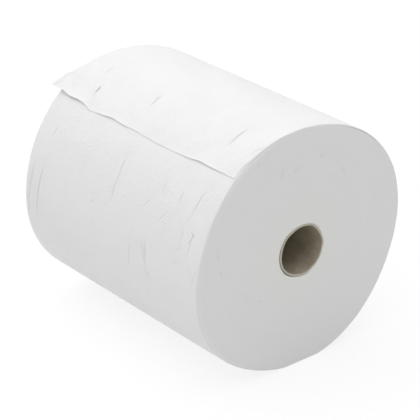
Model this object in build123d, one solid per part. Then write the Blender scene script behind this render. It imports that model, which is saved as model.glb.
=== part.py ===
from build123d import *
from math import atan2, cos, degrees, radians, sin
import os

# A hard-wound paper towel roll that lies on its side, with the loose end of the web lifting at one corner.
# The roll's axis is Y, and the lifted corner is at the +Y end. X and Z lie across the roll, and +Z is up.
# The origin is the middle of the core's bore. Sizes are in millimetres. Angles are in degrees round the
# axis, from +X towards +Z.

# The roll as it was wound
SHEET_WIDTH = 203.2  # width of the towel web, which is the length of the roll
ROLL_RADIUS = 94.1  # mean radius of what is still on the roll
CORE_BORE = 38.1  # inside diameter of the cardboard core
CORE_WALL = 2.05  # board of the core, three plies wound in a spiral
CORE_EDGE = 0.3  # how far the cut edges of the core are worn off
WIND_GAP = 0.1  # slack between the core and the first turn
SHEET = 0.5  # the creped sheet with its bulk, where it is free of the roll
RIM_ROUND = 1.0  # softness of the roll's two rims

# How the soft roll has slumped: lobes round its outline
OVAL_LOBE = 1.55  # how far the two crests of the oval stand out
LEAN_LOBE = 0.25
SQUARE_LOBE = 1.2
SLUMP = (  # how many lobes go round, their height, and the angle of one crest
    (2, OVAL_LOBE, 16.0),
    (3, LEAN_LOBE, 20.0),
    (4, SQUARE_LOBE, 26.0),
)
FLAT_LEFT = 14.0  # the flat spot that the roll rests on, to each side of the core's middle
FLAT_RIGHT = 18.5
FLAT_DEPTH = 1.3  # how far the flat spot is pressed in
OUTLINE_ARCS = 16  # arcs that carry the outline from one end of the flat to the other

# The turns, which show on both ends as runs of sheets that stand a little back from the rest
TURN_RUNS = 5  # set-back runs from the core to the rim, all parts of one spiral
TURN_STEP = 0.4  # how far a run stands back
TURN_MARGIN = 3.0  # plain paper next to the core and inside the rim
ARCS_PER_TURN = 6

# The loose end of the web
TAIL_EDGE = 131.0  # where the cut edge of the web lies
TAIL_SPAN = 35.0  # turn of the outline from the tail's root to its cut edge
TAIL_ROOT = 8.0  # part of that span in which the sheet comes out of the roll
TAIL_SEAT = 0.3  # how deep the sheet's root is seated in the turns below
TAIL_CURL = 1.6  # how late the lift comes: 1 is a straight flap, and more is a curl at the edge
TAIL_POINTS = 9  # points across the tail's section
TAIL_SECTIONS = 21  # sections along the roll
CORNER_LIFT = 8.7  # gap under the cut edge at the lifted corner
EDGE_WAVES = (  # places along the roll's half length, and the gap there as a share of the corner's
    (-1.00, 0.03),
    (-0.72, 0.25),
    (-0.34, 0.09),
    (0.12, 0.23),
    (0.36, 0.35),
    (0.57, 0.06),
    (0.76, 0.62),
    (1.00, 1.00),
)

core_radius = CORE_BORE / 2 + CORE_WALL
paper_bore = core_radius + WIND_GAP


def outline_radius(angle):
    """Radius of the slumped roll before the flat is pressed in."""
    lobes = sum(height * cos(radians(count * (angle - crest))) for count, height, crest in SLUMP)
    return ROLL_RADIUS + lobes


flat_height = outline_radius(270) - FLAT_DEPTH


def layer_drop(angle):
    """How far the turn below lies under the last turn, which ends at the tail's cut edge."""
    past_edge = (angle - TAIL_EDGE) % 360
    covered = 360 - TAIL_SPAN
    if past_edge < covered:
        return SHEET * (1 - past_edge / covered)
    return SHEET * min((past_edge - covered) / TAIL_ROOT, 1)


def wound_radius(angle):
    """Radius of the wound body, which the tail lies on."""
    round_part = outline_radius(angle) - layer_drop(angle)
    height = -sin(radians(angle))
    if height > 0.8:
        return min(round_part, flat_height / height)
    return round_part


def polar(radius, angle, along):
    return Vector(radius * cos(radians(angle)), along, radius * sin(radians(angle)))


def arcs_through(points):
    """A chain of arcs, each through three points, that share their end points."""
    return [Edge.make_three_point_arc(*points[i : i + 3]) for i in range(0, len(points) - 2, 2)]


def wound_outline(along, inset):
    """The closed outline of the wound body: a straight flat below, and arcs round the rest."""
    right = Vector(FLAT_RIGHT, along, inset - flat_height)
    left = Vector(-FLAT_LEFT, along, inset - flat_height)
    first = degrees(atan2(-flat_height, FLAT_RIGHT))
    last = degrees(atan2(-flat_height, -FLAT_LEFT)) + 360
    step = (last - first) / (2 * OUTLINE_ARCS)
    points = [right]
    for i in range(1, 2 * OUTLINE_ARCS):
        angle = first + step * i
        points.append(polar(wound_radius(angle) - inset, angle, along))
    points.append(left)
    return make_face([Edge.make_line(left, right), *arcs_through(points)])


def turn_line(start_share, pitch_share, along):
    """Arcs along one turn after another, from the core outwards, in a plane across the roll."""
    points = []
    for i in range(2 * ARCS_PER_TURN * TURN_RUNS + 1):
        turns = i / (2 * ARCS_PER_TURN)
        angle = TAIL_EDGE + 360 * turns
        inner = paper_bore + TURN_MARGIN
        outer = wound_radius(angle) - TURN_MARGIN
        share = start_share + pitch_share * turns
        points.append(polar(inner + (outer - inner) * share, angle, along))
    return arcs_through(points)


def turn_runs(end):
    """The spiral of set-back turns at one end of the roll; end is -1 or 1."""
    along = end * (SHEET_WIDTH / 2 + TURN_STEP)
    pitch_share = 1 / (TURN_RUNS + 0.5)
    inner_line = turn_line(0, pitch_share, along)
    outer_line = turn_line(pitch_share / 2, pitch_share, along)
    start = Edge.make_line(inner_line[0] @ 0, outer_line[0] @ 0)
    finish = Edge.make_line(inner_line[-1] @ 1, outer_line[-1] @ 1)
    band = make_face([*inner_line, start, *outer_line, finish])
    return extrude(band, amount=2 * TURN_STEP, dir=(0, -end, 0))


def rolled_rim(end):
    """The slice at one end of the body, where the rim rolls over in two bevels and the turns show."""
    half = SHEET_WIDTH / 2
    bevels = ((0, RIM_ROUND), (RIM_ROUND * 0.3, RIM_ROUND * 0.3), (RIM_ROUND, 0))
    rim = loft([wound_outline(end * (half - shy), inset) for shy, inset in bevels], ruled=True)
    return rim - turn_runs(end)


def edge_lift(along_share):
    """Gap under the cut edge at one place along the roll, eased from one given place to the next."""
    for (left, left_share), (right, right_share) in zip(EDGE_WAVES, EDGE_WAVES[1:]):
        if along_share <= right:
            break
    ease = (1 - cos(radians(180 * (along_share - left) / (right - left)))) / 2
    return CORNER_LIFT * (left_share + (right_share - left_share) * ease)


def tail_section(along, lift):
    """The loose end cut across at one place along the roll."""
    top = []
    bottom = []
    root_share = TAIL_ROOT / TAIL_SPAN
    for i in range(TAIL_POINTS):
        share = i / (TAIL_POINTS - 1)
        angle = TAIL_EDGE - TAIL_SPAN * (1 - share)
        raised = outline_radius(angle) + lift * share**TAIL_CURL
        sunk = TAIL_SEAT * max(1 - share / root_share, 0)
        top.append(polar(raised - sunk, angle, along))
        bottom.append(polar(raised - SHEET - TAIL_SEAT * (1 - share), angle, along))
    edges = [
        Edge.make_spline(top),
        Edge.make_line(top[-1], bottom[-1]),
        Edge.make_spline(bottom),
        Edge.make_line(bottom[0], top[0]),
    ]
    return make_face(edges)


def make_tail():
    """The loose end of the web, from where its root is seated in the turns to its cut edge."""
    reach = SHEET_WIDTH / 2 - RIM_ROUND
    sections = []
    for i in range(TAIL_SECTIONS):
        along_share = 2 * i / (TAIL_SECTIONS - 1) - 1
        sections.append(tail_section(along_share * reach, edge_lift(along_share)))
    return loft(sections, ruled=True)


def make_paper_roll():
    """All the turns of the web as one solid, with the core's seat through it and its loose end."""
    straight_length = SHEET_WIDTH - 2 * RIM_ROUND
    body = extrude(wound_outline(-straight_length / 2, 0), amount=straight_length, dir=(0, 1, 0))
    body = body + make_tail() + rolled_rim(-1) + rolled_rim(1)
    return body - Cylinder(paper_bore, SHEET_WIDTH, rotation=(90, 0, 0))


def make_core_tube():
    """The cardboard tube, cut flush with the web."""
    tube = Cylinder(core_radius, SHEET_WIDTH, rotation=(90, 0, 0))
    tube -= Cylinder(CORE_BORE / 2, SHEET_WIDTH, rotation=(90, 0, 0))
    rims = tube.edges().filter_by(GeomType.CIRCLE)
    outer_rims = rims.filter_by(lambda edge: edge.radius > CORE_BORE / 2 + CORE_WALL / 2)
    return chamfer(outer_rims, CORE_EDGE)


parts = {
    "paper_roll": make_paper_roll(),
    "core_tube": make_core_tube(),
}

os.makedirs("parts", exist_ok=True)
for name, shape in parts.items():
    export_step(shape, f"parts/{name}.step")
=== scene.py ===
# %% [markdown]
# A paper towel roll, lying on its side.
# The real thing is one very long web of creped paper, wound some six hundred times on a board tube.
# The solids of the roll come from the frame. Here the web and the tube get their looks: the last turn
# with its loose end, the cut ends of all the turns below it, and the board of the core.

# %% Load the frame
import bmesh
import bpy
import math
import numpy as np
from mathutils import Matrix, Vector


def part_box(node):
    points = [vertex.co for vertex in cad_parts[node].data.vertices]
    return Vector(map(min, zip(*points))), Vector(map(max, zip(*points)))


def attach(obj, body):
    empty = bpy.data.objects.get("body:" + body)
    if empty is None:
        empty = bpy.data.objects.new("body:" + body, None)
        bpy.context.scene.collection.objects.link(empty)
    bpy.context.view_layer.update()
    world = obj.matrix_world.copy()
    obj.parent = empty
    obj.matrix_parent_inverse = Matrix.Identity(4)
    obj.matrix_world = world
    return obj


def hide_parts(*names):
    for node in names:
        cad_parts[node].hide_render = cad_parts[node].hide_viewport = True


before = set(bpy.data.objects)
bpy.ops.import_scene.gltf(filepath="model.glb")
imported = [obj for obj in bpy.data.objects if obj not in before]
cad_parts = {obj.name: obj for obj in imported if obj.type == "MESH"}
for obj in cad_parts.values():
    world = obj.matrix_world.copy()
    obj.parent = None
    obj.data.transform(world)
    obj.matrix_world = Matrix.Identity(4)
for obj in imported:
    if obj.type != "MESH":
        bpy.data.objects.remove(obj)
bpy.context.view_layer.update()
print("nodes in the frame:", sorted(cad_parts))

# %% [markdown]
# Sizes first. The roll's length, the floor and the core come from the frame, so they follow the solids.
# The way the roll has slumped is a formula: a mean radius and a few lobes that go round it. Angles are in
# degrees round the roll's axis, which is Y, from +X towards +Z. The near end is at -Y.

# %% Sizes of the roll and its slumped outline
MM = 0.001
ROLL_RADIUS = 94.1 * MM
SLUMP = (  # how many lobes go round, their height, and the angle of one crest
    (2, 1.55 * MM, 16.0),
    (3, 0.25 * MM, 20.0),
    (4, 1.20 * MM, 26.0),
)
TURN_GAP = 0.2 * MM  # from one turn's outside to the next one's, where the outermost turns lie loose
TAIL_EDGE = 131.4  # angle of the cut edge, where it lies down
TAIL_SPAN = 35.0  # how far back from its edge the web has left the roll
TAIL_ROOT = 8.0  # part of that span in which it comes out from between the turns

roll_low, roll_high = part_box("paper_roll")
core_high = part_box("core_tube")[1]
half_length = (roll_high.y - roll_low.y) / 2
floor_height = roll_low.z
board_radius = core_high.x
print(f"roll {2 * half_length / MM:.1f} mm long, core {2 * board_radius / MM:.1f} mm across")


def outline_radius(angle):
    """Radius of the slumped outline at each angle."""
    lobes = sum(height * np.cos(np.radians(count * (angle - crest))) for count, height, crest in SLUMP)
    return ROLL_RADIUS + lobes


def pressed_flat(radius, angle, clearance):
    """The radius, cut back where it would reach below the floor."""
    below = np.maximum(-np.sin(np.radians(angle)), 0.01)
    return np.minimum(radius, (-floor_height - clearance) / below)


def smooth_step(low, high, value):
    """0 below low, 1 above high, and an easy slope between."""
    share = np.clip((value - low) / (high - low), 0, 1)
    return share * share * (3 - 2 * share)


def stations(value, pairs, period=None):
    """A quantity given at a few places, read off between them."""
    places, amounts = zip(*pairs)
    return np.interp(value, places, amounts, period=period)


# %% [markdown]
# The camera stands where the photograph was taken from: to the left of the near end, looking down on the
# roll. It aims at a point beside the middle of the roll, so the lens needs no shift.

# %% Camera at the photograph's angle
AZIMUTH = -39.793  # degrees from the roll's axis
ELEVATION = 25.564
DISTANCE = 1.3121
LENS = 151.81  # millimetres, on a sensor 36 mm wide
AIM_RIGHT = 0.0007
AIM_UP = -0.0063


def place_camera():
    azimuth, elevation = math.radians(AZIMUTH), math.radians(ELEVATION)
    back = Vector((
        math.sin(azimuth) * math.cos(elevation),
        -math.cos(azimuth) * math.cos(elevation),
        math.sin(elevation),
    ))
    right = Vector((math.cos(azimuth), math.sin(azimuth), 0))
    aim = right * AIM_RIGHT + back.cross(right) * AIM_UP
    data = bpy.data.cameras.new("photo_camera")
    data.sensor_width = 36
    data.lens = LENS
    camera = bpy.data.objects.new("photo_camera", data)
    camera.location = back * DISTANCE
    camera.rotation_mode = "QUATERNION"
    camera.rotation_quaternion = (aim - camera.location).to_track_quat("-Z", "Y")
    bpy.context.scene.collection.objects.link(camera)
    bpy.context.scene.camera = camera
    print("camera at", tuple(round(x, 4) for x in camera.location))


place_camera()

# %% [markdown]
# White paper on white has only light and shade to show its form. One broad lamp stands almost overhead,
# a little to the left and behind the roll. Two weak ones, from the camera's side and from the right, and a
# faint sky fill the rest. Together they give a surface that faces up just about the colour it was painted.

# %% Lamps and the sky's level
SKY_LEVEL = 0.1
LAMPS = (  # name, level, the way towards it, and how many degrees of the sky it fills
    ("overhead_lamp", 3.06, (-0.15, 0.28, 0.94), 104),
    ("front_lamp", 0.28, (-0.5, -0.7, 0.5), 70),
    ("side_lamp", 0.48, (0.5, -0.8, 0.0), 120),
)


def hang_lamp(name, level, shines_from, spread):
    data = bpy.data.lights.new(name, "SUN")
    data.energy = level
    data.angle = math.radians(spread)
    sun = bpy.data.objects.new(name, data)
    sun.rotation_mode = "QUATERNION"
    sun.rotation_quaternion = Vector(shines_from).to_track_quat("Z", "Y")
    bpy.context.scene.collection.objects.link(sun)
    print(name, "at level", level)


for lamp in LAMPS:
    hang_lamp(*lamp)
bpy.context.scene.view_settings.view_transform = "Standard"

# %% [markdown]
# Materials are node trees, and a tree is easier to read as sums. This small class wraps one socket and
# takes part in Python's own arithmetic, so that 1 - mask adds the Math node that says so. Everything that
# isn't arithmetic comes from one method, which takes a node's type, its settings and its inputs.


# %% A class for shader sums
class Value:
    """One output socket. Sums with it add Math nodes."""

    def __init__(self, tree, socket):
        self.tree = tree
        self.socket = socket

    def sum(self, operation, *terms):
        return Finish.join(self.tree, "ShaderNodeMath", {"operation": operation}, dict(enumerate(terms)))

    def __add__(self, other):
        return self.sum("ADD", self, other)

    def __sub__(self, other):
        return self.sum("SUBTRACT", self, other)

    def __rsub__(self, other):
        return self.sum("SUBTRACT", other, self)

    def __mul__(self, other):
        return self.sum("MULTIPLY", self, other)

    def __truediv__(self, other):
        return self.sum("DIVIDE", self, other)

    def bell(self):
        """1 where the value is 0, and less to both sides of it."""
        below = self * self * -1
        return below.sum("EXPONENT", below)

    __radd__ = __add__
    __rmul__ = __mul__


# %% A class for one material
CREASE_LINE = 0.6  # half the width of a crease's sharp valley, in millimetres
CREASE_BANK = 0.3  # height of the bank beside it, as a share of its depth
CREASE_WAVER = 5 * MM  # length over which a crease wavers


class Finish:
    """One material, and the nodes that it is made of."""

    def __init__(self, name):
        self.material = bpy.data.materials.new(name)
        self.material.use_nodes = True
        self.tree = self.material.node_tree
        self.shader = self.tree.nodes["Principled BSDF"]

    @staticmethod
    def join(tree, kind, settings, inputs, output=0):
        node = tree.nodes.new(kind)
        for name, setting in settings.items():
            setattr(node, name, setting)
        for name, value in inputs.items():
            if isinstance(value, Value):
                tree.links.new(value.socket, node.inputs[name])
            else:
                node.inputs[name].default_value = value
        return Value(tree, node.outputs[output])

    def node(self, kind, settings=None, output=0, **inputs):
        named = {name.replace("_", " "): value for name, value in inputs.items()}
        return self.join(self.tree, kind, settings or {}, named, output)

    def noise(self, place, size, detail=2.0, roughness=0.5):
        """Cloudy values from 0 to 1, with lumps of about that many metres along x, y and z."""
        scaled = self.join(
            self.tree, "ShaderNodeVectorMath", {"operation": "DIVIDE"}, {0: place, 1: size}
        )
        return self.node(
            "ShaderNodeTexNoise", Vector=scaled, Scale=1.0, Detail=detail, Roughness=roughness
        )

    def blend(self, share, first, second):
        """A colour between two colours."""
        inputs = {0: share, 6: first, 7: second}
        return self.join(self.tree, "ShaderNodeMix", {"data_type": "RGBA"}, inputs, 2)

    def ramp(self, value, low, high):
        """0 below low, 1 above high."""
        settings = {"interpolation_type": "SMOOTHSTEP"}
        return self.node("ShaderNodeMapRange", settings, Value=value, From_Min=low, From_Max=high)

    def feed(self, **inputs):
        for name, value in inputs.items():
            socket = self.shader.inputs[name.replace("_", " ")]
            if isinstance(value, Value):
                self.tree.links.new(value.socket, socket)
            else:
                socket.default_value = value

    def raise_by(self, height):
        """Bumps from a height in millimetres."""
        self.feed(Normal=self.node("ShaderNodeBump", Height=height, Distance=MM, Strength=1.0))

    def kept(self, name):
        """A number that the mesh keeps on its points."""
        return self.node("ShaderNodeAttribute", {"attribute_name": name}, output="Fac")

    def fold(self):
        """The creases of the surface: thin valleys with a low bank, which waver a little."""
        place = self.node("ShaderNodeTexCoord", output="Object")
        waver = self.noise(place, (CREASE_WAVER, CREASE_WAVER, CREASE_WAVER))
        off = (self.kept("crease_aside") + 2 * waver - 1) / CREASE_LINE
        return self.kept("crease_depth") * (CREASE_BANK * (off / 2).bell() - off.bell())


# %% [markdown]
# The towel paper itself. Creping pushes the wet web into tiny ridges that lie across its length, about a
# millimetre apart, and the pulp leaves a finer fuzz on top. Both are bumps here, laid out in the web's own
# flat coordinates, so they follow the paper round the roll and out along the loose end. The colour
# barely changes: a faint cloudiness, as in any uncoated paper.

# %% Towel paper
PAPER = (0.87, 0.87, 0.868, 1)
PAPER_DULL = (0.86, 0.86, 0.857, 1)
LETS_LIGHT_THROUGH = 0.7
LIGHT_REACH = 0.35 * MM


def towel_paper():
    finish = Finish("towel_paper")
    web = finish.node("ShaderNodeUVMap", {"uv_map": "web"})
    crepe = finish.noise(web, (0.9 * MM, 4.5 * MM, 1), detail=3)
    pulp = finish.noise(web, (0.45 * MM, 0.5 * MM, 1), detail=2)
    crinkle = finish.noise(web, (2.2 * MM, 3.4 * MM, 1), detail=4, roughness=0.7)
    worn = finish.ramp(finish.noise(web, (34 * MM, 26 * MM, 1), detail=2), 0.40, 0.62)
    cloud = finish.noise(web, (22 * MM, 14 * MM, 1), detail=3)
    finish.feed(
        Base_Color=finish.blend(finish.ramp(cloud, 0.35, 0.75), PAPER, PAPER_DULL),
        Roughness=0.88 + 0.1 * pulp,
        Specular_IOR_Level=0.2,
        Subsurface_Weight=LETS_LIGHT_THROUGH,
        Subsurface_Radius=(1, 1, 1),
        Subsurface_Scale=LIGHT_REACH,
    )
    finish.raise_by(0.1 * crepe + 0.05 * pulp + 0.5 * worn * crinkle + finish.fold())
    return finish.material


# %% [markdown]
# The ends of the roll are the cut edges of hundreds of turns. A saw leaves them almost flush, with a soft
# matt face in which the turns show only as hair lines. Those lines follow the turns, so the body carries
# an attribute that says how deep in the roll a point lies, and the lines are noise along that depth.
# Near the core the face picks up a little of the board's dust.

# %% Cut ends of the turns
CUT_PAPER = (0.857, 0.857, 0.857, 1)
CUT_DULL = (0.84, 0.84, 0.84, 1)
BOARD_DUST = (0.85, 0.85, 0.81, 1)
DUST_REACH = (2 * MM, 26 * MM)  # from the core outwards, between which the dust fades
DUST_SHARE = 0.6
LINE_PITCH = 0.5 * MM


def cut_turns():
    finish = Finish("cut_turns")
    depth = finish.kept("depth")
    place = finish.node("ShaderNodeTexCoord", output="Object")
    wander = finish.noise(place, (25 * MM, 25 * MM, 25 * MM))
    layer = finish.node("ShaderNodeCombineXYZ", X=depth / LINE_PITCH + 2 * wander, Y=wander)
    lines = finish.node("ShaderNodeTexNoise", Vector=layer, Scale=1.0, Detail=3.0)
    bands = finish.noise(finish.node("ShaderNodeCombineXYZ", X=depth), (6 * MM, 1, 1))
    fuzz = finish.noise(place, (0.6 * MM, 0.6 * MM, 0.6 * MM))
    face = finish.blend(finish.ramp(0.5 * lines + 0.5 * bands, 0.3, 0.75), CUT_PAPER, CUT_DULL)
    near_core = 1 - finish.ramp(depth, *DUST_REACH)
    finish.feed(
        Base_Color=finish.blend(near_core * DUST_SHARE, face, BOARD_DUST),
        Roughness=0.9 + 0.08 * fuzz,
        Specular_IOR_Level=0.15,
    )
    finish.raise_by(0.03 * lines + 0.05 * fuzz + finish.fold())
    return finish.material


# %% [markdown]
# The core is chipboard: recycled pulp in three plies, wound in a spiral and glued. Its wall is grey-brown
# with paler and darker fibres, and one dark hair line where two edges of the inner ply meet climbs it like
# a screw thread. The saw leaves a paler, fuzzy edge.

# %% Core board
BOARD = (0.455, 0.405, 0.31, 1)
BOARD_DARK = (0.35, 0.305, 0.23, 1)
BOARD_CUT = (0.56, 0.53, 0.445, 1)
PLY_PITCH = 92 * MM
PLY_SEAM = 0.7 * MM
SEAM_SHARE = 0.7  # how much of its darker colour the seam shows
SAWN = (0.2 * MM, 0.7 * MM)  # from an end of the tube, between which the pale cut face ends


def core_board():
    finish = Finish("core_board")
    place = finish.node("ShaderNodeTexCoord", output="Object")
    fibres = finish.noise(place, (0.7 * MM, 5 * MM, 0.7 * MM), detail=4)
    cloud = finish.noise(place, (9 * MM, 16 * MM, 9 * MM))
    wall = finish.blend(finish.ramp(0.55 * fibres + 0.45 * cloud, 0.35, 0.68), BOARD, BOARD_DARK)
    across, along, high = (
        finish.node("ShaderNodeSeparateXYZ", Vector=place, output=name) for name in ("X", "Y", "Z")
    )
    turns = high.sum("ARCTAN2", high, across) / math.tau
    climb = turns + along / PLY_PITCH
    seam = 1 - finish.ramp(climb.sum("FRACT", climb), 0, PLY_SEAM / PLY_PITCH)
    wall = finish.blend(SEAM_SHARE * seam, wall, BOARD_DARK)
    from_end = half_length - along.sum("ABSOLUTE", along)
    cut = 1 - finish.ramp(from_end, *SAWN)
    finish.feed(
        Base_Color=finish.blend(cut, wall, BOARD_CUT),
        Roughness=0.85 + 0.1 * fibres,
        Specular_IOR_Level=0.25,
    )
    finish.raise_by(0.1 * fibres - 0.1 * seam)
    return finish.material


# %% [markdown]
# The floor is plain and works as a light table does: part of its light comes through from below, so the
# roll's shadow stays on it but is soft and pale. Floor and sky show white to the camera, and through gloss
# and glass, and both cast much less light onto the roll, so its underside keeps its shade.

# %% Floor and sky
HALF_FLOOR = 4.0
FLOOR_CLEARANCE = 0.05 * MM
FLOOR_SEEN = (1, 1, 1, 1)
FLOOR_BOUNCE = (0.82, 0.82, 0.82, 1)
GLOW_SEEN = 0.8  # share of the floor's white that comes through from below, for the camera
GLOW_CAST = 0.26  # and for the roll


def seen_directly(tree):
    """1 for rays that show a background: the camera's, and those through gloss and glass."""
    rays = tree.nodes.new("ShaderNodeLightPath").outputs
    camera, gloss, glass = (
        Value(tree, rays[f"Is {kind} Ray"]) for kind in ("Camera", "Glossy", "Transmission")
    )
    seen = camera + gloss + glass
    return seen.sum("MINIMUM", seen, 1.0)


def lay_floor():
    finish = Finish("pale_floor")
    seen = seen_directly(finish.tree)
    finish.feed(
        Base_Color=finish.blend(seen, FLOOR_BOUNCE, FLOOR_SEEN), Roughness=1.0, Specular_IOR_Level=0.0
    )
    glow = finish.node("ShaderNodeEmission", Color=FLOOR_SEEN, Strength=1.0)
    lit = Value(finish.tree, finish.shader.outputs[0])
    share = GLOW_CAST + (GLOW_SEEN - GLOW_CAST) * seen
    mixed = finish.join(finish.tree, "ShaderNodeMixShader", {}, {0: share, 1: lit, 2: glow})
    finish.tree.links.new(mixed.socket, finish.tree.nodes["Material Output"].inputs["Surface"])
    bm = bmesh.new()
    bmesh.ops.create_grid(bm, x_segments=1, y_segments=1, size=HALF_FLOOR)
    bmesh.ops.translate(bm, verts=bm.verts, vec=(0, 0, floor_height - FLOOR_CLEARANCE))
    mesh = bpy.data.meshes.new("floor")
    bm.to_mesh(mesh)
    bm.free()
    mesh.materials.append(finish.material)
    floor = bpy.data.objects.new("floor", mesh)
    bpy.context.scene.collection.objects.link(floor)


def paint_sky():
    world = bpy.data.worlds.new("studio")
    world.use_nodes = True
    bpy.context.scene.world = world
    sky = world.node_tree.nodes["Background"]
    sky.inputs["Color"].default_value = (1, 1, 1, 1)
    level = SKY_LEVEL + (1 - SKY_LEVEL) * seen_directly(world.node_tree)
    world.node_tree.links.new(level.socket, sky.inputs["Strength"])


lay_floor()
paint_sky()

# %% [markdown]
# Every piece ends the same way: its bmesh becomes a mesh at the origin, it rides on the root, and it stands
# for one node, whose solid is hidden.


# %% Finish a piece
def coordinates(mesh):
    points = np.empty(3 * len(mesh.vertices))
    mesh.vertices.foreach_get("co", points)
    return points.reshape(-1, 3)


def hand_over(name, mesh, material, node):
    mesh.materials.append(material)
    mesh.shade_smooth()
    piece = bpy.data.objects.new(name, mesh)
    bpy.context.scene.collection.objects.link(piece)
    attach(piece, "root")
    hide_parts(node)
    print(f"{name}: {len(mesh.polygons)} faces")
    return piece


# %% [markdown]
# Handling leaves creases: short pinched lines, most of which run round the roll. A mesh fine enough for
# such thin lines would be too heavy. So each point of the mesh only says how far aside of its nearest
# crease it lies, a number that runs evenly from point to point, and the material draws the thin valley
# from it. The mesh itself takes on a wider and shallower one.


# %% Creases
FAR_ASIDE = 9.0  # where no crease is near, in millimetres
CREASE_REACH = (1.8, 2.4)  # millimetres aside of a crease, between which its depth fades to nothing
CREASE_ENDS = (-0.1, 0.3)  # shares of its length from an end, between which it comes in
CREASE_SPAN = 0.8  # how far from its middle a crease is felt, as a share of its length


def laid_flat(to_flat, marks):
    """Marks from one place to another, as two flat points and a depth each."""
    return [(to_flat(*mark[:2]), to_flat(*mark[2:4]), mark[4]) for mark in marks]


def nearest_crease(points, creases):
    """How many millimetres aside of its nearest crease each flat point lies, and that crease's depth."""
    aside = np.full(len(points), FAR_ASIDE)
    depth = np.zeros(len(points))
    for start, finish, deep in creases:
        run = np.subtract(finish, start)
        length = np.hypot(*run)
        from_start = points - start
        share = from_start @ run / length**2
        off = (from_start[:, 1] * run[0] - from_start[:, 0] * run[1]) / length / MM
        fade = smooth_step(*CREASE_ENDS, share) * smooth_step(*CREASE_ENDS, 1 - share)
        nearer = (np.abs(off) < np.abs(aside)) & (np.abs(share - 0.5) < CREASE_SPAN)
        aside = np.where(nearer, off, aside)
        depth = np.where(nearer, deep * fade, depth)
    return aside, depth * (1 - smooth_step(*CREASE_REACH, np.abs(aside)))


def keep_on_points(mesh, **columns):
    for name, values in columns.items():
        attribute = mesh.attributes.new(name, "FLOAT", "POINT")
        attribute.data.foreach_set("value", np.asarray(values, dtype=np.float32))


# %% [markdown]
# The rims. A saw-cut roll has crisp rims where it was handled little and soft ones where the outer turns
# were pushed about. In the photograph the near rim is soft at the lower left, at the top right and under
# the loose corner. A rim is rounded by pulling the square corner onto a quarter circle, whose radius is
# read off round the roll.

# %% How soft each rim is
NEAR_RIM = (  # angle and rounding in millimetres
    (0, 0.8), (20, 1.8), (45, 3.0), (62, 3.0), (80, 2.0), (100, 1.2), (112, 2.4), (118, 3.2), (131, 3.0),
    (142, 1.0), (165, 1.2), (185, 2.4), (215, 2.6), (240, 1.8), (270, 1.0), (310, 0.7),
)
FAR_RIM = ((0, 1.2), (70, 1.6), (130, 1.0), (200, 1.8), (290, 1.0))


def rim_softness(angle, along):
    near = stations(angle, NEAR_RIM, period=360)
    far = stations(angle, FAR_RIM, period=360)
    return np.where(along < 0, near, far) * MM


def soften_rim(radius, along, top, softness):
    """Moves points near the roll's square corner onto a quarter circle."""
    outward = np.maximum(radius - (top - softness), 0)
    endward = np.maximum(np.abs(along) - (half_length - softness), 0)
    both = (outward > 0) & (endward > 0)
    length = np.maximum(np.hypot(outward, endward), 1e-9)
    shrink = np.where(both, np.maximum(outward, endward) / length, 1)
    new_radius = radius - outward * (1 - shrink)
    new_along = along - np.sign(along) * endward * (1 - shrink)
    return new_radius, new_along


# %% [markdown]
# The core's mouth has been knocked. At the near end the board is pushed in along its upper side, pressed
# thin at the right, and stands off the paper at the left, where the gap shows as a dark line. The first
# turns of paper follow it in part. The dents fade a centimetre or so into the tube, and a few millimetres
# into the paper.

# %% Dented mouth of the core
MOUTH = (  # angle, and how far the paper, the board's outside and its inside stand out, in millimetres
    (0, -0.1, -0.1, 0.8), (15, -1.2, -1.2, -0.2), (30, -1.4, -1.4, -0.8), (60, -1.4, -1.4, -0.8),
    (75, -1.8, -1.8, -1.3), (95, -1.8, -1.8, -1.4), (120, -1.1, -1.2, -1.4), (137, -0.4, -1.2, -0.5),
    (150, -0.4, -1.3, -0.4), (165, 0.0, -1.0, -0.5), (180, 0.1, -0.7, -0.3), (210, 0.1, -0.8, 0.0),
    (240, -0.2, -0.9, -0.1), (256, -0.6, -1.0, -0.3), (270, -0.3, -0.5, 0.1), (285, 0.4, -0.2, 0.6),
    (300, -0.4, -0.5, 0.7), (315, -0.1, -0.2, 0.9), (330, -0.3, -0.3, 0.9), (345, -0.6, -0.6, 0.7),
)
PAPER_RIM, BOARD_OUTSIDE, BOARD_INSIDE = 1, 2, 3  # columns of that table
DENT_LENGTH = 14 * MM
DENT_IN_PAPER = 9 * MM


def mouth_dent(angle, along, which):
    """How far one column of the mouth's rim stands out, at each angle and place along the roll."""
    into_tube = np.exp(-(((along + half_length) / DENT_LENGTH) ** 2))
    return stations(angle, [(row[0], row[which]) for row in MOUTH], period=360) * MM * into_tube


# %% [markdown]
# The wound body is everything under the last turn. Its section, a rectangle from the core to the outside,
# is drawn once and spun round the axis. The spun rings are then pulled out to the slumped outline, and each
# end gets the turns: runs that stand back by a few hundredths of a millimetre, in one spiral.

# %% Sizes of the wound body, and the marks on its near end
RIM_STRIP = 4 * MM
END_CUTS = 92
RIM_CUTS = 6
BODY_CUTS = 6
BORE_CUTS = 8
SPIN_STEPS = 256
SHEET_THICKNESS = 0.15 * MM
SHEET_CLEARANCE = 0.04 * MM
CREASE_ROOM = 0.3 * MM
ROOM_EDGE = (3 * MM, 9 * MM)  # from an end of the roll, between which that room opens
TURN_RUNS = 46  # runs of turns that show on each end
TURN_RELIEF = 0.08 * MM
RELIEF_MARGIN = 3 * MM  # inside the rim, in which the relief comes in
RELIEF_START = 0.03  # and the same beside the core, as a share of the turns
NEAR_SEED, FAR_SEED = 11, 12
CORE_CLEARANCE = 0.1 * MM
SAME_PLACE = 0.01 * MM  # closer than this is the same place

bore_radius = board_radius + CORE_CLEARANCE
print(f"seat of the core {2 * bore_radius / MM:.1f} mm across")

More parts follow.
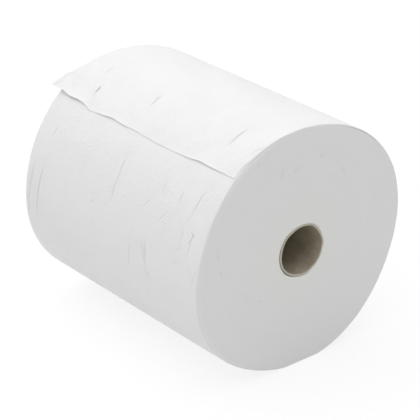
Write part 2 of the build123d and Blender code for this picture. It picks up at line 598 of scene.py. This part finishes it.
SCUFFS = (  # on the near end, from an angle and a radius to another, and the depth, in millimetres
    (110, 63, 105, 70, 0.6), (99, 63, 95, 64, 0.6), (76, 68, 75, 71, 0.8), (57, 65, 48, 61, 0.6),
    (161, 82, 170, 77, 0.5), (174, 74, 178, 73, 0.6), (199, 56, 201, 54, 0.6), (215, 48, 217, 46, 0.6),
    (119, 87, 117, 88, 0.7), (116, 84, 111, 88, 0.3),
)


# %% Shape of the wound body
def end_point(angle, radius):
    """A place on an end of the roll, radius in millimetres, as a flat point."""
    return radius * MM * math.cos(math.radians(angle)), radius * MM * math.sin(math.radians(angle))


def at_ends(along):
    return np.abs(np.abs(along) - half_length) < SAME_PLACE


def room_below(along):
    """Space between the last turn and the body. It lets the creases sink in, and closes at the rims."""
    return SHEET_CLEARANCE + CREASE_ROOM * smooth_step(*ROOM_EDGE, half_length - np.abs(along))


def body_top(angle, along):
    """The body's outside. It sinks by a turn's gap on the way round, and is as deep under the loose end."""
    back = (TAIL_EDGE - angle) % 360
    under_tail = smooth_step(0, TAIL_ROOT, TAIL_SPAN - back)
    drop = TURN_GAP * np.where(back < TAIL_SPAN, under_tail, (back - TAIL_SPAN) / (360 - TAIL_SPAN))
    below = SHEET_THICKNESS + room_below(along)
    return pressed_flat(outline_radius(angle) - drop - below, angle, below)


def turn_relief(share, angle, seed):
    """How far the cut face stands out, by the turn that a point lies on."""
    offsets = np.random.default_rng(seed).random(TURN_RUNS + 3)
    lap = ((angle - TAIL_EDGE) % 360) / 360
    turn = np.clip(np.floor(share * TURN_RUNS - lap), -1, TURN_RUNS).astype(int) + 1
    return TURN_RELIEF * (offsets[turn] * (1 - lap) + offsets[turn + 1] * lap - 0.5)


def spin_profile(corners, cuts):
    """A closed profile of radius and place along the axis, cut up and spun round the roll's axis."""
    bm = bmesh.new()
    points = [bm.verts.new((radius, along, 0)) for radius, along in corners]
    edges = [bm.edges.new(pair) for pair in zip(points, points[1:] + points[:1])]
    for edge, count in zip(edges, cuts):
        if count:
            bmesh.ops.subdivide_edges(bm, edges=[edge], cuts=count)
    bmesh.ops.spin(
        bm, geom=bm.verts[:] + bm.edges[:], cent=(0, 0, 0), axis=(0, -1, 0), dvec=(0, 0, 0),
        angle=math.tau, steps=SPIN_STEPS, use_merge=True,
    )
    bmesh.ops.recalc_face_normals(bm, faces=bm.faces[:])
    return bm


def polar(points):
    """Angle in degrees, radius and place along the axis of each point."""
    angle = np.degrees(np.arctan2(points[:, 2], points[:, 0])) % 360
    return angle, np.hypot(points[:, 0], points[:, 2]), points[:, 1]


def move_to(mesh, angle, radius, along):
    turn = np.radians(angle)
    points = np.stack([radius * np.cos(turn), along, radius * np.sin(turn)], axis=1)
    mesh.vertices.foreach_set("co", points.ravel())
    mesh.update()


# %% Make the wound body
def make_wound_body(material):
    rim, near, far = ROLL_RADIUS, -half_length, half_length
    corners = (
        (bore_radius, near), (rim - RIM_STRIP, near), (rim, near), (rim, near + RIM_STRIP),
        (rim, far - RIM_STRIP), (rim, far), (rim - RIM_STRIP, far), (bore_radius, far),
    )
    cuts = (END_CUTS, RIM_CUTS, RIM_CUTS, BODY_CUTS, RIM_CUTS, RIM_CUTS, END_CUTS, BORE_CUTS)
    bm = spin_profile(corners, cuts)
    mesh = bpy.data.meshes.new("wound_body")
    bm.to_mesh(mesh)
    bm.free()
    angle, radius, along = polar(coordinates(mesh))
    share = (radius - bore_radius) / (rim - bore_radius)
    top = body_top(angle, along)
    wide = bore_radius + share * (top - bore_radius)
    deep = wide - bore_radius
    near_relief = turn_relief(share, angle, NEAR_SEED)
    relief = np.where(along < 0, near_relief, turn_relief(share, angle, FAR_SEED))
    inside_rim = smooth_step(0, RELIEF_MARGIN, top - wide) * smooth_step(0, RELIEF_START, share)
    soft_radius, soft_along = soften_rim(wide, along, top, rim_softness(angle, along))
    soft_along += np.sign(along) * np.where(at_ends(along), (relief - TURN_RELIEF / 2) * inside_rim, 0)
    soft_radius += mouth_dent(angle, along, PAPER_RIM) * np.exp(-np.maximum(deep, 0) / DENT_IN_PAPER)
    move_to(mesh, angle, soft_radius, soft_along)
    flat = np.stack([wide * np.cos(np.radians(angle)), wide * np.sin(np.radians(angle))], axis=1)
    aside, crease_depth = nearest_crease(flat, laid_flat(end_point, SCUFFS))
    crease_depth *= along < MM - half_length
    keep_on_points(mesh, depth=deep, crease_aside=aside, crease_depth=crease_depth)
    hand_over("wound_body", mesh, material, "paper_roll")


make_wound_body(cut_turns())

# %% [markdown]
# The last turn is the part of the web that everybody sees. It is made as the real one is: a flat strip,
# wide as the roll and a bit more than once round it long, which is then wound on. It starts at the cut
# edge, follows the slumped outline all the way round, and runs on under its own loose end, so the
# place where it leaves the roll has no seam.
# The loose end lifts in waves. Their heights under the cut edge were judged from the photograph, every
# centimetre or so along the roll, and each wave runs back only as far as its height asks for.

# %% The loose end's waves
EDGE_LIFTS = (  # place along the roll and gap under the cut edge, in millimetres
    (-102, 0.1), (-92, 0.3), (-84, 0.5), (-72, 1.0), (-64, 0.7), (-56, 0.5), (-44, 0.3), (-36, 0.1),
    (-28, 0.2), (-16, 0.2), (4, 0.2), (12, 0.2), (20, 0.9), (28, 0.7), (34, 1.0), (42, 0.7), (48, 0.2),
    (53, 0.0), (58, 0.1), (62, 0.7), (67, 1.3), (74, 1.6), (84, 1.8), (92, 3.1), (98, 5.6), (103, 9.1),
)
EDGE_LINE = (  # place along the roll in millimetres, and how many degrees too far the web reaches there
    (-102, -1.1), (-88, -1.1), (-76, -0.85), (-66, -1.2), (-58, -0.5), (-52, -0.3), (-40, 0.0), (-16, 0.0),
    (-4, -0.35), (8, -0.8), (20, -0.4), (32, -1.1), (44, -0.25), (48, -0.3), (52, 0.1), (58, 0.4),
    (62, -0.4), (68, -1.3), (76, -1.5), (84, -1.1), (92, -1.7), (98, -1.0), (102, -0.1),
)
LIFT_BLUR = 0.8 * MM  # the kinks between two places are rounded over about this length
SHORTEST_LIFT = 5.0  # degrees of the roll that the lowest wave runs back
LONGEST_LIFT = 36.0
HIGHEST_LIFT = 9.1 * MM
LIFT_CURL = 2.0  # 1 is a straight flap, and more is a curl at the edge
EDGE_DRAWS_BACK = 0.19  # degrees that the edge draws back for each millimetre of lift


def edge_lift(along):
    spots = [(place * MM, height * MM) for place, height in EDGE_LIFTS]
    return sum(stations(along + LIFT_BLUR * step, spots) for step in (-1, 0, 1)) / 3


def tail_lift(back, along):
    """Gap under the loose end, so many degrees back from its edge."""
    lift = edge_lift(along)
    reach = SHORTEST_LIFT + (LONGEST_LIFT - SHORTEST_LIFT) * lift / HIGHEST_LIFT
    return lift * np.clip(1 - back / reach, 0, 1) ** LIFT_CURL


# %% [markdown]
# No wound roll is quite even. A sum of long waves, a tenth of a millimetre high, takes the stiffness off.

# %% Unevenness of the wound surface
UNEVEN_WAVES = 14
UNEVEN_SEED = 3


def unevenness(back, along, seed):
    """Broad, shallow waves in the wound surface."""
    rng = np.random.default_rng(seed)
    total = np.zeros_like(along)
    for _ in range(UNEVEN_WAVES):
        round_wave = rng.uniform(0.02, 0.12)
        along_wave = rng.uniform(20, 90)
        total += np.cos(round_wave * back * 3 + along_wave * along + rng.uniform(0, math.tau))
    return total / UNEVEN_WAVES


# %% [markdown]
# The creases of the last turn that the photograph shows are listed one by one, and the sides that it doesn't
# show get a few more, drawn at random from a fixed seed. All of them are moved from the round roll to the
# flat web, where they are straight lines.

# %% Creases in the last turn
CREASES = (  # from an angle and a place along the roll to another, and the depth, in millimetres
    (127, 64, 119, 69, 0.5), (113, 77, 108, 78, 0.4), (119, 13, 109, 15, 0.4), (119, -45, 116, -45, 0.5),
    (121, -74, 106, -73, 0.45), (120, -96, 112, -98, 0.5), (165, 1, 140, 1, 0.6), (152, -47, 144, -45, 0.6),
    (151, -66, 144, -64, 0.5), (154, -80, 140, -83, 0.5), (191, 88, 161, 81, 0.75), (193, 98, 163, 93, 0.75),
    (162, -50, 156, -57, 0.5), (150, 83, 145, 82, 0.5), (176, -27, 186, -26, 0.55), (170, -44, 185, -44, 0.6),
    (158, -33, 154, -38, 0.5), (147, -48, 148, -57, 0.4), (169, -74, 166, -80, 0.5),
    (175, -71, 173, -80, 0.4), (172, -89, 175, -95, 0.4), (167, 14, 154, 1, 0.25),
    (162, -87, 158, -88, 1.3), (186, -78, 183, -79, 0.7), (157, 68, 161, 67, 0.45), (169, 23, 166, 19, 0.6),
    (173, -40, 178, -40, 0.4), (184, -44, 187, -51, 0.5), (159, -77, 165, -80, 0.4),
    (162, -88, 169, -87, 0.35), (189, 92, 193, 93, 0.6), (180, -95, 171, -98, 0.5),
)
SPARE_CREASES = 30
SPARE_SEED = 5


def spare_creases():
    """Creases for the sides that the photograph doesn't show."""
    rng = np.random.default_rng(SPARE_SEED)
    for _ in range(SPARE_CREASES):
        angle = rng.uniform(205, 420)
        place = rng.uniform(-92, 92)
        yield angle, place, angle + rng.uniform(4, 20), place + rng.normal(0, 3), rng.uniform(0.2, 0.6)


def web_point(angle, place):
    """A place on the roll's side as a point of the flat web."""
    return math.radians((TAIL_EDGE - angle) % 360) * ROLL_RADIUS, place * MM


# %% [markdown]
# Winding the strip on. Each point of the flat strip knows how far back from the cut edge it lies and where
# across. The first becomes an angle, the second a place along the axis, and the radius follows from
# the outline, the loose end's lift, the creases and the rims. The last centimetre or two of the web has
# drifted towards the far end, which leaves the near corner a little short of the rim.

# %% Sizes of the last turn
WEB_STEPS = 160
ACROSS_STEPS = 286
UNDER_TAIL = 400.0  # degrees of web, from the cut edge to where it goes on out of sight
WAVE_HEIGHT = 0.12 * MM
CREASE_SHARE = 0.4  # part of a crease's depth that the mesh takes on
CREASE_VALLEY = 1.2  # half the width of that valley, in millimetres
ROOM_USED = 0.8  # share of the room below that a crease may sink into
GOES_UNDER = (352, 358)  # degrees back, between which the web goes under its own loose end
DRIFT = 2.6 * MM
DRIFT_ENDS = (8.5, 11)  # degrees back from the cut edge, between which most of the drift is gone
SLOW_DRIFT = 0.3 * MM
FLARE = 0.15 * MM  # the last turn's near rim stands off at the top right
FLARE_ANGLE = 54
FLARE_SPREAD = 13  # in degrees, to each side
FLARE_LENGTH = 7 * MM
FLARE_SHARPENS = 0.15  # share of the rim's softness that the flare takes away
CUT_EDGE = 0.25 * MM  # the first row of faces is this narrow, so the edge stays crisp
web_length = math.radians(UNDER_TAIL) * ROLL_RADIUS
web_width = 2 * half_length
print(f"web of the last turn {web_width / MM:.1f} by {web_length / MM:.1f} mm")


def web_drift(back):
    near_corner = (DRIFT - SLOW_DRIFT) * (1 - smooth_step(*DRIFT_ENDS, back))
    return near_corner + SLOW_DRIFT * (1 - smooth_step(DRIFT_ENDS[1], TAIL_SPAN, back))


def flared(angle):
    """1 where the near rim stands off most, and less to both sides."""
    return np.exp(-(((angle - FLARE_ANGLE) / FLARE_SPREAD) ** 2))


# %% Flat strip of web
def flat_web():
    """The strip before it is wound on. The cut edge is at 0, and its UV map is in metres."""
    bm = bmesh.new()
    bmesh.ops.create_grid(bm, x_segments=WEB_STEPS, y_segments=ACROSS_STEPS, size=0.5, calc_uvs=False)
    bmesh.ops.scale(bm, vec=(web_length, web_width, 1), verts=bm.verts)
    bmesh.ops.translate(bm, vec=(web_length / 2, 0, 0), verts=bm.verts)
    second_row = [vert for vert in bm.verts if 0.5 < vert.co.x / web_length * WEB_STEPS < 1.5]
    bmesh.ops.translate(bm, vec=(CUT_EDGE - web_length / WEB_STEPS, 0, 0), verts=second_row)
    web = bm.loops.layers.uv.new("web")
    for face in bm.faces:
        for loop in face.loops:
            loop[web].uv = loop.vert.co.xy
    mesh = bpy.data.meshes.new("last_turn")
    bm.to_mesh(mesh)
    bm.free()
    return mesh


# %% Wind it on
def make_last_turn(material):
    mesh = flat_web()
    flat = coordinates(mesh)
    back = np.degrees(flat[:, 0] / ROLL_RADIUS)
    across = flat[:, 1]
    lift = tail_lift(back, across)
    reaches = stations(across / MM, EDGE_LINE) - EDGE_DRAWS_BACK * edge_lift(across) / MM
    angle = TAIL_EDGE - back + reaches * (1 - smooth_step(0, TAIL_SPAN, back))
    drop = TURN_GAP * np.clip((back - TAIL_SPAN) / (360 - TAIL_SPAN), 0, 1)
    shown = 1 - smooth_step(*GOES_UNDER, back)
    aside, depth = nearest_crease(flat[:, :2], laid_flat(web_point, (*CREASES, *spare_creases())))
    valleys = CREASE_SHARE * MM * depth * np.exp(-((aside / CREASE_VALLEY) ** 2))
    relief = shown * (WAVE_HEIGHT * unevenness(back, across, UNEVEN_SEED) - valleys)
    top = outline_radius(angle) - drop + lift + np.maximum(relief, -ROOM_USED * room_below(across))
    near_rim = smooth_step(half_length - FLARE_LENGTH, half_length, -across)
    top += FLARE * flared(angle % 360) * near_rim * shown
    top = pressed_flat(top, angle % 360, 0)
    softness = rim_softness(angle % 360, across)
    softness *= 1 - FLARE_SHARPENS * flared(angle % 360) * (across < 0)
    along = across + web_drift(back)
    radius, along = soften_rim(top, along, top, softness)
    move_to(mesh, angle, radius, along)
    keep_on_points(mesh, crease_aside=aside, crease_depth=depth)
    piece = hand_over("last_turn", mesh, material, "paper_roll")
    thicken = piece.modifiers.new("sheet", "SOLIDIFY")
    thicken.thickness = SHEET_THICKNESS
    thicken.offset = -1


make_last_turn(towel_paper())

# %% [markdown]
# The core is a tube of board whose cut edge shows its plies as fine grooves. It is one more spun profile:
# the end edges are cut into as many steps as the plies need, and the points between two plies are
# sunk a little. Then its near mouth is dented like the paper round it.

# %% Core tube
BOARD_WALL = 2.05 * MM
PLIES = 3
PLY_GROOVE = 0.12 * MM
WORN_CORNER = 0.25 * MM
WALL_CUTS = 90
OUTSIDE_CUTS = 12


def make_core(material):
    inner = board_radius - BOARD_WALL
    near, far = -half_length, half_length
    corners = ((inner, near), (board_radius, near), (board_radius, far), (inner, far))
    ring_cuts = 4 * PLIES - 1
    bm = spin_profile(corners, (ring_cuts, OUTSIDE_CUTS, ring_cuts, WALL_CUTS))
    mesh = bpy.data.meshes.new("core_tube_board")
    bm.to_mesh(mesh)
    bm.free()
    angle, radius, along = polar(coordinates(mesh))
    wall_share = (radius - inner) / BOARD_WALL
    between = np.abs((wall_share * PLIES + 0.5) % 1 - 0.5) < 0.1
    corner = (wall_share < 0.01) | (wall_share > 0.99)
    sunk = np.where(corner, WORN_CORNER, np.where(between, PLY_GROOVE, 0))
    new_along = along - np.sign(along) * np.where(at_ends(along), sunk, 0)
    inside = mouth_dent(angle, along, BOARD_INSIDE)
    outside = mouth_dent(angle, along, BOARD_OUTSIDE)
    move_to(mesh, angle, radius + inside + (outside - inside) * wall_share, new_along)
    hand_over("core_board_tube", mesh, material, "core_tube")


make_core(core_board())
